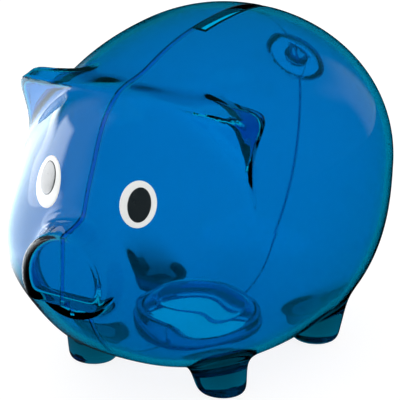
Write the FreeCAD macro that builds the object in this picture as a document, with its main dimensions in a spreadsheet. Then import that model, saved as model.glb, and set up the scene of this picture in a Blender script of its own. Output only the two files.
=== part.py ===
import FreeCAD, Part
import math
import os

import Sketcher

# See-through plastic piggy bank, moulded as two hollow halves that lap together
# on the centre plane, with a push-in belly plug and printed eyes.
#
# Millimetres. +Z is up, the pig faces -Y and +X is the pig's left side.
# The origin is on the ground, under the middle of the overall box.

Vector = FreeCAD.Vector
UP = Vector(0, 0, 1)

DIMENSIONS = {
    # trunk: an egg with its own reach in each direction from its centre
    "trunk_centre_y": 12.5,
    "trunk_centre_z": 44.35,
    "trunk_half_width": 38.5,
    "trunk_front_reach": 61.9,
    "trunk_rear_reach": 43.35,
    "trunk_top_reach": 37.35,
    "trunk_bottom_reach": 43.2,
    # the trunk widens by this share towards the rump, and lowers by the other
    "trunk_widening": 0.07,
    "trunk_lowering": 0.02,
    "trunk_taper_length": 40.0,
    # squareness of the egg: 2 is an ellipse and more is boxier
    "top_squareness": 2.04,
    "bottom_squareness": 2.66,
    "front_squareness": 2.31,
    "rear_squareness": 2.21,
    "trunk_mean_radius": 38.0,
    "belly_floor_z": 4.88,
    "belly_blend": 6.0,
    # cheeks: two balls blended into the trunk
    "cheek_spacing": 13.4,
    "cheek_y": -33.7,
    "cheek_z": 38.0,
    "cheek_radius": 11.9,
    "cheek_blend": 8.0,
    # brow: an ellipsoid that fills out the forehead
    "brow_y": -30.95,
    "brow_z": 64.3,
    "brow_half_width": 16.0,
    "brow_radius": 11.2,
    "brow_blend": 5.0,
    # how far each form lies inside the outer skin
    "skin_inset": 0.0,
    "rebate_inset": 0.8,
    "tongue_inset": 0.85,
    "cavity_inset": 1.6,
    "white_inset": -0.2,
    "pupil_inset": -0.4,
    # lap joint along the centre plane
    "lap_width": 1.0,
    "lap_end_gap": 0.1,
    # ear corners on the left side
    "ear_root_x": 3.0,
    "ear_root_y": -32.7,
    "ear_root_z": 73.0,
    "ear_tip_x": 29.3,
    "ear_tip_y": -30.0,
    "ear_tip_z": 72.7,
    "ear_back_x": 31.0,
    "ear_back_y": -21.7,
    "ear_back_z": 72.1,
    "ear_nape_x": 15.5,
    "ear_nape_y": -20.7,
    "ear_nape_z": 74.0,
    "ear_lobe_x": 27.8,
    "ear_lobe_y": -25.4,
    "ear_lobe_z": 57.8,
    "ear_edge_radius": 1.2,
    "ear_corner_radius": 3.2,
    "ear_wall": 1.1,
    # block that the ear planes are cut from, and the part of it the rims run in
    "ear_blank_x": 2.0,
    "ear_blank_y": -50.0,
    "ear_blank_z": 52.0,
    "ear_blank_width": 38.0,
    "ear_blank_depth": 40.0,
    "ear_blank_height": 28.0,
    "ear_rim_inner_x": 12.0,
    "ear_rim_reach": 8.0,
    "ear_rim_bottom_z": 59.8,
    "ear_rim_shortest": 3.0,
    # snout: a tapered drum with a stepped lower lip
    "snout_z": 39.0,
    "snout_base_y": -41.2,
    "snout_front_y": -57.5,
    "snout_base_radius": 12.3,
    "snout_front_radius": 10.2,
    "lip_front_y": -53.4,
    "mouth_z": 32.7,
    "snout_edge_radius": 1.0,
    # legs, which are solid
    "front_leg_x": 17.4,
    "front_leg_y": -14.3,
    "rear_leg_x": 22.0,
    "rear_leg_y": 24.2,
    "leg_height": 13.5,
    "leg_foot_radius": 5.6,
    "leg_root_radius": 8.1,
    "leg_edge_radius": 1.6,
    # tail: a curled ring on the rump
    "tail_y": 52.245,
    "tail_z": 61.0,
    "tail_tilt": 28.0,
    "tail_ring_radius": 4.9,
    "tail_tube_radius": 2.8,
    "tail_wall": 1.3,
    # coin slot, notched into the left half only
    "slot_width": 3.2,
    "slot_front_y": -1.4,
    "slot_rear_y": 32.8,
    "slot_bottom_z": 70.0,
    "slot_cut_height": 20.0,
    # belly opening and plug
    "plug_y": 4.8,
    "opening_radius": 13.6,
    "collar_wall": 1.6,
    "collar_top_z": 9.0,
    "seat_z": 5.4,
    "seat_clearance": 0.3,
    "plug_clearance": 0.05,
    "plug_flange_radius": 15.8,
    "plug_flange_z": 4.0,
    "plug_top_z": 12.0,
    "plug_top_radius": 11.2,
    "plug_wall": 1.2,
    # eyes: ovals printed on the face
    "left_eye_x": 11.9,
    "left_eye_y": -45.4,
    "left_eye_z": 55.0,
    "left_eye_lean": 5.0,
    "left_eye_half_height": 5.1,
    "left_pupil_rise": -0.1,
    "right_eye_x": -10.8,
    "right_eye_y": -45.7,
    "right_eye_z": 55.7,
    "right_eye_lean": -19.0,
    "right_eye_half_height": 5.85,
    "right_pupil_rise": 0.8,
    "eye_turn": 23.5,
    "eye_tilt": 19.5,
    "eye_half_width": 4.05,
    "pupil_half_width": 2.55,
    "pupil_half_height": 3.8,
    "pupil_offset": 0.3,
    "eye_prism_depth": 12.0,
}

SECTION_POINTS = 32
STATION_ANGLES = (-88, -80, -71, -61, -51, -41, -30, -20, -10, 0, 11, 22, 33, 44, 55, 65, 74, 82, 88)
SEARCH_REACH = 80.0
SEARCH_STEPS = 40
# larger than the whole pig
BIG = 200.0
CLOSE = 0.01

doc = FreeCAD.newDocument("piggy_bank")
sheet = doc.addObject("Spreadsheet::Sheet", "Dims")
for row, (alias, value) in enumerate(DIMENSIONS.items(), start=1):
    sheet.set(f"A{row}", alias)
    sheet.set(f"B{row}", str(value))
    sheet.setAlias(f"B{row}", alias)
doc.recompute()

SIZES = {alias: float(sheet.get(alias)) for alias in DIMENSIONS}


def dim(alias):
    """A driving dimension, read back from the sheet."""
    return SIZES[alias]


def corner(prefix):
    return Vector(dim(prefix + "_x"), dim(prefix + "_y"), dim(prefix + "_z"))


# ---------------------------------------------------------------- helpers


def primitive(kind, name, sizes, at=("0", "0", "0"), turn=None):
    """A Part primitive whose sizes and position follow the sheet."""
    shape = doc.addObject("Part::" + kind, name)
    if turn:
        shape.Placement.Rotation = FreeCAD.Rotation(*turn)
    for size_name, expression in sizes.items():
        shape.setExpression(size_name, expression)
    for axis, expression in zip("xyz", at):
        shape.setExpression("Placement.Base." + axis, expression)
    return shape


def fuse(name, members):
    joined = doc.addObject("Part::MultiFuse", name)
    joined.Shapes = members
    return joined


def common(name, members):
    shared = doc.addObject("Part::MultiCommon", name)
    shared.Shapes = members
    return shared


def cut(name, base, tool):
    remainder = doc.addObject("Part::Cut", name)
    remainder.Base = base
    remainder.Tool = tool
    return remainder


def feature(name, shape):
    held = doc.addObject("Part::Feature", name)
    held.Shape = shape
    return held


def round_edges(name, base, radius, wanted):
    """A Part::Fillet on the edges of base that pass the test `wanted`."""
    doc.recompute()
    rounded = doc.addObject("Part::Fillet", name)
    rounded.Base = base
    edges = enumerate(base.Shape.Edges, start=1)
    rounded.Edges = [(number, radius, radius) for number, edge in edges if wanted(edge)]
    return rounded


# ------------------------------------------------------------------ trunk


def smooth_max(a, b, blend):
    share = min(max(0.5 + 0.5 * (a - b) / blend, 0.0), 1.0)
    return b + (a - b) * share + blend * share * (1.0 - share)


def trunk_field(x, y, z, inset):
    """Negative inside the trunk, zero on the form `inset` inside its skin."""
    ahead = y - dim("trunk_centre_y")
    above = z - dim("trunk_centre_z")
    front = ahead < 0
    swing = math.tanh(ahead / dim("trunk_taper_length"))
    half_width = dim("trunk_half_width") * (1.0 + dim("trunk_widening") * swing) - inset
    length = dim("trunk_front_reach" if front else "trunk_rear_reach") - inset
    reach = dim("trunk_top_reach" if above > 0 else "trunk_bottom_reach")
    height = reach * (1.0 - dim("trunk_lowering") * swing) - inset
    across = dim("top_squareness" if above > 0 else "bottom_squareness")
    along = dim("front_squareness" if front else "rear_squareness")
    ring = (abs(x / half_width) ** across + abs(above / height) ** across) ** (1 / across)
    egg = (ring**along + abs(ahead / length) ** along) ** (1 / along)
    field = (egg - 1.0) * dim("trunk_mean_radius")
    field = smooth_max(field, dim("belly_floor_z") + inset - z, dim("belly_blend"))
    from_cheek = math.sqrt(
        (abs(x) - dim("cheek_spacing")) ** 2
        + (y - dim("cheek_y")) ** 2
        + (z - dim("cheek_z")) ** 2
    )
    cheek = from_cheek - dim("cheek_radius") + inset
    field = -smooth_max(-field, -cheek, dim("cheek_blend"))
    brow_radius = dim("brow_radius") - inset
    from_brow = math.sqrt(
        (x / (dim("brow_half_width") - inset)) ** 2
        + ((y - dim("brow_y")) / brow_radius) ** 2
        + ((z - dim("brow_z")) / brow_radius) ** 2
    )
    brow = (from_brow - 1.0) * brow_radius
    return -smooth_max(-field, -brow, dim("brow_blend"))


def skin_distance(y, angle, inset):
    """How far the skin lies from the trunk's axis in one section, by bisection."""
    low, high = 0.0, SEARCH_REACH
    for _ in range(SEARCH_STEPS):
        middle = (low + high) / 2
        x = middle * math.sin(angle)
        z = dim("trunk_centre_z") + middle * math.cos(angle)
        if trunk_field(x, y, z, inset) < 0:
            low = middle
        else:
            high = middle
    return low


def trunk_section(y, inset):
    points = []
    for step in range(SECTION_POINTS):
        angle = 2 * math.pi * step / SECTION_POINTS
        reach = skin_distance(y, angle, inset)
        height = dim("trunk_centre_z") + reach * math.cos(angle)
        points.append(Vector(reach * math.sin(angle), y, height))
    outline = Part.BSplineCurve()
    outline.interpolate(Points=points, PeriodicFlag=True)
    return Part.Wire(outline.toShape())


def trunk(name, inset_alias):
    """The trunk's form at one inset, lofted through sections along Y."""
    inset = dim(inset_alias)
    sections = []
    for degrees in STATION_ANGLES:
        reach = dim("trunk_front_reach" if degrees < 0 else "trunk_rear_reach") - inset
        y = dim("trunk_centre_y") + reach * math.sin(math.radians(degrees))
        sections.append(trunk_section(y, inset))
    return feature(name, Part.makeLoft(sections, True, False))


# ------------------------------------------------------------------- ears


def beyond_plane(point, normal, inset):
    """A block that holds all beyond a plane, once the plane has moved in by inset."""
    block = Part.makeBox(BIG, BIG, BIG, Vector(-BIG / 2, -BIG / 2, 0))
    turn = FreeCAD.Rotation(UP, normal)
    block.Placement = FreeCAD.Placement(point - normal * inset, turn)
    return block


def plane_normal(first, second, third, inside):
    """Unit normal of the plane of three corners, pointing away from `inside`."""
    normal = (second - first).cross(third - first)
    normal.normalize()
    if normal.dot(inside - first) > 0:
        normal = normal * -1
    return normal


def ear_shape(inset):
    """Left ear: a block cut by its front, top, outer and back planes."""
    root, tip, back = corner("ear_root"), corner("ear_tip"), corner("ear_back")
    nape, lobe = corner("ear_nape"), corner("ear_lobe")
    inside = (root + tip + back + nape + lobe) * 0.2
    blank_sizes = (dim("ear_blank_width"), dim("ear_blank_depth"), dim("ear_blank_height"))
    blank = Part.makeBox(*blank_sizes, corner("ear_blank"))
    for trio in ((root, tip, lobe), (root, tip, back), (tip, back, lobe), (nape, back, lobe)):
        normal = plane_normal(*trio, inside)
        blank = blank.cut(beyond_plane(trio[0], normal, inset))
    return blank


def rounded_ear():
    """The ear's outer form, with a broad corner at the tip and soft edges."""
    ear = ear_shape(dim("skin_inset"))
    tip, back = corner("ear_tip"), corner("ear_back")

    def joins(edge, *ends):
        return all(edge.distToShape(Part.Vertex(end))[0] < CLOSE for end in ends)

    ridge = [edge for edge in ear.Edges if joins(edge, tip, back)]
    ear = ear.makeFillet(dim("ear_corner_radius"), ridge)
    centre = (tip + back) * 0.5
    rims = [edge for edge in ear.Edges if rim_of_ear(edge, centre)]
    return ear.makeFillet(dim("ear_edge_radius"), rims)


def rim_of_ear(edge, centre):
    """True for the front and back rims that run round the ear's free corner."""
    middle = edge.valueAt((edge.FirstParameter + edge.LastParameter) / 2)
    near_corner = edge.distToShape(Part.Vertex(centre))[0] < dim("ear_rim_reach")
    on_free_part = middle.x > dim("ear_rim_inner_x") and middle.z > dim("ear_rim_bottom_z")
    return near_corner and on_free_part and edge.Length > dim("ear_rim_shortest")


def ears(form):
    left = rounded_ear() if form == "skin" else ear_shape(dim("ear_wall"))
    right = left.mirror(Vector(0, 0, 0), Vector(1, 0, 0))
    return [feature(f"{form}_left_ear", left), feature(f"{form}_right_ear", right)]


# ------------------------------------------------------- snout, legs, tail


def snout(form):
    """Snout drum: full behind the lip step, and cut along the mouth before it."""
    inset = f"Dims.{form}_inset"
    sizes = {
        "Radius1": f"Dims.snout_base_radius - {inset}",
        "Radius2": f"Dims.snout_front_radius - {inset}",
        "Height": f"Dims.snout_base_y - Dims.snout_front_y - {inset}",
    }
    drum = primitive(
        "Cone",
        f"{form}_snout_drum",
        sizes,
        at=("0", "Dims.snout_base_y", "Dims.snout_z"),
        turn=(Vector(1, 0, 0), 90),
    )
    reach = "Dims.snout_base_radius * 2"
    below_mouth = primitive(
        "Box",
        f"{form}_mouth_step",
        {"Length": reach, "Width": "Dims.lip_front_y - Dims.snout_front_y", "Height": reach},
        at=(
            "-Dims.snout_base_radius",
            f"Dims.snout_front_y + {inset}",
            f"Dims.mouth_z + {inset} - {reach}",
        ),
    )
    stepped = cut(f"{form}_snout_step", drum, below_mouth)
    if form != "skin":
        return stepped

    def front_rim(edge):
        return edge.BoundBox.YMax < dim("snout_front_y") + CLOSE

    return round_edges("skin_snout", stepped, dim("snout_edge_radius"), front_rim)


def leg(name, x, y):
    sizes = {
        "Radius1": "Dims.leg_foot_radius",
        "Radius2": "Dims.leg_root_radius",
        "Height": "Dims.leg_height",
    }
    cone = primitive("Cone", f"{name}_leg", sizes, at=(x, y, "0"))

    def sole_rim(edge):
        return edge.BoundBox.ZMax < CLOSE

    return round_edges(f"{name}_foot", cone, dim("leg_edge_radius"), sole_rim)


def legs():
    spots = []
    for pair in ("front", "rear"):
        for side, sign in (("left", ""), ("right", "-")):
            spots.append((f"{pair}_{side}", f"{sign}Dims.{pair}_leg_x", f"Dims.{pair}_leg_y"))
    return [leg(name, x, y) for name, x, y in spots]


def tail(form):
    inset = "Dims.tail_wall" if form == "cavity" else f"Dims.{form}_inset"
    sizes = {
        "Radius1": "Dims.tail_ring_radius",
        "Radius2": f"Dims.tail_tube_radius - {inset}",
    }
    lean = (Vector(1, 0, 0), dim("tail_tilt") - 90)
    return primitive("Torus", f"{form}_tail", sizes, at=("0", "Dims.tail_y", "Dims.tail_z"), turn=lean)


# ----------------------------------------------------------------- shells


def side_block(name, low_x, length):
    """A block longer and taller than the pig, between two X planes."""
    sizes = {"Length": length, "Width": f"{BIG}", "Height": f"{BIG}"}
    return primitive("Box", name, sizes, at=(low_x, f"{-BIG / 2}", f"{-BIG / 2}"))


trunk_skin = trunk("skin_trunk", "skin_inset")
trunk_cavity = trunk("cavity_trunk", "cavity_inset")
outer_form = fuse("outer_form", [trunk_skin, *ears("skin"), snout("skin"), *legs(), tail("skin")])
inner_form = fuse("inner_form", [trunk_cavity, *ears("cavity"), snout("cavity"), tail("cavity")])
hollow = cut("hollow_pig", outer_form, inner_form)

collar = primitive(
    "Cylinder",
    "collar_blank",
    {
        "Radius": "Dims.opening_radius + Dims.collar_wall",
        "Height": "Dims.collar_top_z - Dims.seat_z",
    },
    at=("0", "Dims.plug_y", "Dims.seat_z"),
)
bore = primitive(
    "Cylinder",
    "opening_bore",
    {"Radius": "Dims.opening_radius", "Height": "Dims.plug_top_z"},
    at=("0", "Dims.plug_y", "0"),
)
seat = primitive(
    "Cylinder",
    "flange_seat",
    {"Radius": "Dims.plug_flange_radius + Dims.seat_clearance", "Height": "Dims.seat_z"},
    at=("0", "Dims.plug_y", "0"),
)
belly_cutter = fuse("belly_cutter", [bore, seat])
opened = cut("opened_pig", fuse("collared_pig", [hollow, collar]), belly_cutter)

slot_cutter = primitive(
    "Box",
    "slot_cutter",
    {
        "Length": "Dims.slot_width",
        "Width": "Dims.slot_rear_y - Dims.slot_front_y",
        "Height": "Dims.slot_cut_height",
    },
    at=("0", "Dims.slot_front_y", "Dims.slot_bottom_z"),
)


def lap_band(name, form, block):
    """The inner part of the wall, between one form and the cavity, in a block."""
    solid = fuse(f"{form}_form", [trunk(f"{form}_trunk", f"{form}_inset"), snout(form), tail(form)])
    ring = cut(f"{name}_ring", solid, inner_form)
    strip = common(f"{name}_strip", [ring, block])
    openings = fuse(f"{name}_openings", [belly_cutter, slot_cutter])
    return cut(name, strip, openings)


tongue = lap_band("tongue", "tongue", side_block("tongue_block", "0", "Dims.lap_width"))
rebate_block = side_block("rebate_block", "0", "Dims.lap_width + Dims.lap_end_gap")
rebate = lap_band("rebate", "rebate", rebate_block)
left_half = common("left_half", [opened, side_block("left_block", "0", f"{BIG}")])
right_half = common("right_half", [opened, side_block("right_block", f"{-BIG}", f"{BIG}")])
left_shell = cut("left_shell", left_half, fuse("left_cuts", [rebate, slot_cutter]))
right_shell = fuse("right_shell", [right_half, tongue])


# ------------------------------------------------------------------- plug


def plug_profile(body):
    """Half profile of the plug: flange, neck, tapered cup and hollow underside."""
    neck = "Dims.opening_radius - Dims.plug_clearance"
    neck_radius = dim("opening_radius") - dim("plug_clearance")
    inner_neck_radius = neck_radius - dim("plug_wall")
    inner_top_radius = dim("plug_top_radius") - dim("plug_wall")
    ceiling = "Dims.plug_top_z - Dims.plug_wall"
    ceiling_z = dim("plug_top_z") - dim("plug_wall")
    # each corner: radius and height as numbers, then as expressions on the sheet
    outline = [
        (0.0, dim("plug_top_z"), None, "Dims.plug_top_z"),
        (dim("plug_top_radius"), dim("plug_top_z"), "Dims.plug_top_radius", "Dims.plug_top_z"),
        (neck_radius, dim("collar_top_z"), neck, "Dims.collar_top_z"),
        (neck_radius, dim("seat_z"), neck, "Dims.seat_z"),
        (dim("plug_flange_radius"), dim("seat_z"), "Dims.plug_flange_radius", "Dims.seat_z"),
        (dim("plug_flange_radius"), dim("plug_flange_z"), "Dims.plug_flange_radius", "Dims.plug_flange_z"),
        (inner_neck_radius, dim("plug_flange_z"), f"{neck} - Dims.plug_wall", "Dims.plug_flange_z"),
        (inner_top_radius, ceiling_z, "Dims.plug_top_radius - Dims.plug_wall", ceiling),
        (0.0, ceiling_z, None, ceiling),
    ]
    sketch = body.newObject("Sketcher::SketchObject", "plug_profile")
    upright = next(f for f in body.Origin.OriginFeatures if f.Role == "XZ_Plane")
    sketch.AttachmentSupport = (upright, "")
    sketch.MapMode = "FlatFace"
    corners = [Vector(radius, height, 0) for radius, height, _, _ in outline]
    count = len(corners)
    for index in range(count):
        segment = Part.LineSegment(corners[index], corners[(index + 1) % count])
        sketch.addGeometry(segment, False)
    for index in range(count):
        ahead = (index + 1) % count
        sketch.addConstraint(Sketcher.Constraint("Coincident", index, 2, ahead, 1))
    for index, (radius, height, radius_rule, height_rule) in enumerate(outline):
        if radius_rule:
            place = Sketcher.Constraint("DistanceX", -1, 1, index, 1, radius)
            sketch.setExpression(f"Constraints[{sketch.addConstraint(place)}]", radius_rule)
        else:
            sketch.addConstraint(Sketcher.Constraint("PointOnObject", index, 1, -2))
        place = Sketcher.Constraint("DistanceY", -1, 1, index, 1, height)
        sketch.setExpression(f"Constraints[{sketch.addConstraint(place)}]", height_rule)
    return sketch


def make_plug():
    body = doc.addObject("PartDesign::Body", "belly_plug")
    body.setExpression("Placement.Base.y", "Dims.plug_y")
    profile = plug_profile(body)
    turned = body.newObject("PartDesign::Revolution", "plug_cup")
    turned.Profile = profile
    turned.ReferenceAxis = (profile, ["V_Axis"])
    turned.Angle = 360
    body.Tip = turned
    return body


# ------------------------------------------------------------------- eyes


def eye_prism(side_name, half_width, half_height, offset, rise):
    """A long oval bar through the face, square to it at the eye's centre."""
    side = 1 if side_name == "left" else -1
    face_out = FreeCAD.Rotation(UP, side * dim("eye_turn"))
    lean_back = FreeCAD.Rotation(Vector(1, 0, 0), -dim("eye_tilt"))
    lean_aside = FreeCAD.Rotation(Vector(0, 1, 0), dim(side_name + "_eye_lean"))
    turn = face_out.multiply(lean_back).multiply(lean_aside)
    out = turn.multVec(Vector(0, -1, 0))
    across = turn.multVec(Vector(1, 0, 0))
    upward = turn.multVec(UP)
    centre = corner(side_name + "_eye") + across * side * offset + upward * rise
    oval = Part.Ellipse(centre + upward * half_height, centre + across * half_width, centre)
    face = Part.Face(Part.Wire(oval.toShape()))
    depth = dim("eye_prism_depth")
    face.translate(out * (-depth / 2))
    return face.extrude(out * depth)


def print_layers():
    """Ink ovals: the white lies on the skin and the pupil lies on the white."""
    white_trunk = trunk("white_trunk", "white_inset")
    pupil_trunk = trunk("pupil_trunk", "pupil_inset")
    prints = []
    for side in ("left", "right"):
        half_height = dim(side + "_eye_half_height")
        white = eye_prism(side, dim("eye_half_width"), half_height, 0.0, 0.0)
        pupil_sizes = (dim("pupil_half_width"), dim("pupil_half_height"))
        pupil = eye_prism(side, *pupil_sizes, dim("pupil_offset"), dim(side + "_pupil_rise"))
        layers = (("white", white, white_trunk, trunk_skin), ("pupil", pupil, pupil_trunk, white_trunk))
        for kind, prism, top, base in layers:
            name = f"{side}_eye_{kind}"
            capped = common(name + "_capped", [feature(name + "_prism", prism), top])
            prints.append(cut(name, capped, base))
    return prints


nodes = [left_shell, right_shell, make_plug(), *print_layers()]
for node in nodes:
    node.Label = node.Name
doc.recompute()

for item in doc.Objects:
    if "Invalid" in item.State or "Error" in item.State:
        raise RuntimeError(f"{item.Label} failed: {item.State}")
for node in nodes:
    if node.Shape.isNull() or not node.Shape.isValid():
        raise RuntimeError(f"{node.Label} has no valid shape")

os.makedirs("parts", exist_ok=True)
for node in nodes:
    node.Shape.exportStep(f"parts/{node.Label}.step")
    print(node.Label, len(node.Shape.Solids), "solid", round(node.Shape.Volume), "mm3", node.Shape.BoundBox)
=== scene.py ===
import math

import bmesh
import bpy
import numpy as np
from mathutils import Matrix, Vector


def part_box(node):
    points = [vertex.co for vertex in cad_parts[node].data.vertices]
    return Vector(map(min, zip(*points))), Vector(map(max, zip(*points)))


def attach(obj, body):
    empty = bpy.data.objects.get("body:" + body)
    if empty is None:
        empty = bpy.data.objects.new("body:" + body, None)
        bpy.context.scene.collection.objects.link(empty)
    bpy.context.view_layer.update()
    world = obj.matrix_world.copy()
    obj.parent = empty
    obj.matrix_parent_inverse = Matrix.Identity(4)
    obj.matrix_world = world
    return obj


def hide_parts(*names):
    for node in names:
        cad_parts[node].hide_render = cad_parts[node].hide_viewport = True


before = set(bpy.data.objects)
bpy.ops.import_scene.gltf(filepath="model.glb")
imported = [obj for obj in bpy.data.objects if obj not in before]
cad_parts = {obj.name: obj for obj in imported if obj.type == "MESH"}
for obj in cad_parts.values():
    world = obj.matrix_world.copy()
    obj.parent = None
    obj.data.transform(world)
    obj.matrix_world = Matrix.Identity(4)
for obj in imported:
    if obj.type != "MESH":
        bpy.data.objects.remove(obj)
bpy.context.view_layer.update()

import openvdb
from mathutils import Matrix, Vector

# See-through blue piggy bank in two hollow lapped halves, with a belly plug and
# printed eyes. Shapes are worked out in millimetres in the CAD frame (+Z up, the
# pig faces -Y, +X is its left) and are scaled to metres at the end.

MM = 0.001


def cad_box(node):
    """Lowest and highest corner of a CAD node, in millimetres."""
    low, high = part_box(node)
    return np.array(low) / MM, np.array(high) / MM


SHELL_LOW = np.minimum(cad_box("left_shell")[0], cad_box("right_shell")[0])
SHELL_HIGH = np.maximum(cad_box("left_shell")[1], cad_box("right_shell")[1])
PLUG_LOW, PLUG_HIGH = cad_box("belly_plug")
PLUG_Y = (PLUG_LOW[1] + PLUG_HIGH[1]) / 2
SNOUT_FRONT_Y = SHELL_LOW[1]

# ------------------------------------------------------------- form, as fields
# A field is negative inside its form. `inset` moves the form's skin inwards.

WALL = 1.6
# the ear's front and outer walls run thin, so that their hollow reaches the ridge
EAR_WALLS = (0.7, 0.9, 0.9, 0.7, 0.9, 0.9)
# wider fillets inside keep the wall even round the ear's and the snout's roots
EAR_HOLLOW_BLEND, SNOUT_HOLLOW_BLEND = 4.2, 3.2
TAIL_WALL = 0.8
TONGUE_INSET = 0.85
REBATE_INSET = 0.8
LAP_WIDTH = 0.6
LAP_END_GAP = 0.1


# a cubic fillet has to reach this much further than its blend to be as full
CUBIC_REACH = 1.5


def smooth_max(a, b, blend):
    """The larger value, with a curvature-continuous fillet where the two are close."""
    reach = CUBIC_REACH * blend
    near = np.clip(1.0 - np.abs(a - b) / reach, 0.0, 1.0)
    return np.maximum(a, b) + near**3 * reach / 6


def smooth_min(a, b, blend):
    return -smooth_max(-a, -b, blend)


TRUNK_Y, TRUNK_Z = 12.52, 44.36
HALF_WIDTH = 38.54
FRONT_REACH, REAR_REACH = 61.89, 43.36
TOP_REACH, BOTTOM_REACH = 37.36, 43.22
WIDENING, LOWERING, TAPER_LENGTH = 0.069, 0.02, 40.0
TOP_SQUARENESS, BOTTOM_SQUARENESS = 2.04, 2.66
FRONT_SQUARENESS, REAR_SQUARENESS = 2.31, 2.21
MEAN_RADIUS = 38.0
BELLY_Z, BELLY_BLEND = 4.88, 6.0
CHEEK = (13.39, -33.7, 38.0)
CHEEK_RADIUS, CHEEK_BLEND = 11.9, 8.0
BROW_Y, BROW_Z = -30.95, 64.3
BROW_HALF_WIDTH, BROW_RADIUS, BROW_BLEND = 16.0, 11.2, 5.0


def trunk(x, y, z, inset=0.0):
    ahead = y - TRUNK_Y
    above = z - TRUNK_Z
    swing = np.tanh(ahead / TAPER_LENGTH)
    half_width = HALF_WIDTH * (1.0 + WIDENING * swing) - inset
    length = np.where(ahead < 0, FRONT_REACH, REAR_REACH) - inset
    height = np.where(above > 0, TOP_REACH, BOTTOM_REACH) * (1.0 - LOWERING * swing) - inset
    across = np.where(above > 0, TOP_SQUARENESS, BOTTOM_SQUARENESS)
    along = np.where(ahead < 0, FRONT_SQUARENESS, REAR_SQUARENESS)
    ring = (np.abs(x / half_width) ** across + np.abs(above / height) ** across) ** (1 / across)
    egg = (ring**along + np.abs(ahead / length) ** along) ** (1 / along)
    field = smooth_max((egg - 1.0) * MEAN_RADIUS, BELLY_Z + inset - z, BELLY_BLEND)
    from_cheek = np.sqrt((np.abs(x) - CHEEK[0]) ** 2 + (y - CHEEK[1]) ** 2 + (z - CHEEK[2]) ** 2)
    field = smooth_min(field, from_cheek - CHEEK_RADIUS + inset, CHEEK_BLEND)
    brow_radius = BROW_RADIUS - inset
    from_brow = np.sqrt(
        (x / (BROW_HALF_WIDTH - inset)) ** 2
        + ((y - BROW_Y) / brow_radius) ** 2
        + ((z - BROW_Z) / brow_radius) ** 2
    )
    return smooth_min(field, (from_brow - 1.0) * brow_radius, BROW_BLEND)


EAR_ROOT = np.array((3.0, -32.7, 73.0))
EAR_TIP = np.array((29.3, -30.0, 72.7))
EAR_BACK = np.array((31.0, -21.7, 72.1))
EAR_NAPE = np.array((15.5, -20.7, 74.0))
EAR_LOBE = np.array((27.8, -25.4, 57.8))
# a point straight under the nape, so that the ear's inner plane stands upright
BELOW_NAPE = EAR_NAPE - (0.0, 0.0, 20.0)
EAR_EDGE_BLEND, EAR_CORNER_BLEND, EAR_ROOT_BLEND = 1.1, 3.6, 3.0
EAR_FOLD_BLEND = 1.5
EAR_INNER_BLEND, EAR_BOTTOM_Z = 5.0, 50.0


def ear_planes():
    """Outward normal and offset of an ear's front, top, rear top, outer, back and inner planes."""
    inside = (EAR_ROOT + EAR_TIP + EAR_BACK + EAR_NAPE + EAR_LOBE) / 5
    planes = []
    for a, b, c in (
        (EAR_ROOT, EAR_TIP, EAR_LOBE),
        (EAR_ROOT, EAR_TIP, EAR_BACK),
        (EAR_ROOT, EAR_NAPE, EAR_BACK),
        (EAR_TIP, EAR_BACK, EAR_LOBE),
        (EAR_NAPE, EAR_BACK, EAR_LOBE),
        (EAR_ROOT, EAR_NAPE, BELOW_NAPE),
    ):
        normal = np.cross(b - a, c - a)
        normal = normal / np.linalg.norm(normal)
        if normal @ (inside - a) > 0:
            normal = -normal
        planes.append((normal, normal @ a))
    return planes


EAR_PLANES = ear_planes()


def ears(x, y, z, insets):
    """Both ears, with one inset for each plane."""
    side = np.abs(x)
    front, top, rear_top, outer, back, inner = [
        n[0] * side + n[1] * y + n[2] * z - offset + inset
        for (n, offset), inset in zip(EAR_PLANES, insets)
    ]
    top = smooth_min(top, rear_top, EAR_FOLD_BLEND)
    field = smooth_max(top, outer, EAR_CORNER_BLEND)
    field = smooth_max(smooth_max(field, front, EAR_EDGE_BLEND), back, EAR_EDGE_BLEND)
    field = smooth_max(field, inner, EAR_INNER_BLEND)
    return np.maximum(field, EAR_BOTTOM_Z - z)


SNOUT_Z = 39.0
SNOUT_BASE_Y = -41.2
SNOUT_BACK_Y = -30.0
SNOUT_BASE_RADIUS, SNOUT_FRONT_RADIUS = 12.3, 10.2
LIP_FRONT_Y = -53.4
MOUTH_Z = 32.7
SNOUT_EDGE_BLEND, SNOUT_ROOT_BLEND = 1.1, 2.4


def snout(x, y, z, inset=0.0):
    length = SNOUT_BASE_Y - SNOUT_FRONT_Y
    slope = (SNOUT_BASE_RADIUS - SNOUT_FRONT_RADIUS) / length
    radius = SNOUT_FRONT_RADIUS + slope * (y - SNOUT_FRONT_Y) - inset
    side = (np.hypot(x, z - SNOUT_Z) - radius) / math.hypot(1.0, slope)
    disc = smooth_max(side, SNOUT_FRONT_Y + inset - y, SNOUT_EDGE_BLEND)
    disc = smooth_max(disc, MOUTH_Z + inset - z, SNOUT_EDGE_BLEND)
    lip = smooth_max(side, LIP_FRONT_Y + inset - y, SNOUT_EDGE_BLEND)
    return np.maximum(np.minimum(disc, lip), y - SNOUT_BACK_Y)


# foot centre of the front and rear left legs, and how they lean per mm of height
LEGS = ((17.4, -14.3, -0.15, -0.10), (22.0, 24.2, 0.0, 0.0))
LEG_HEIGHT = 13.5
FOOT_RADIUS, LEG_ROOT_RADIUS = 5.6, 8.1
LEG_EDGE_BLEND, LEG_ROOT_BLEND = 2.0, 2.2


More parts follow.
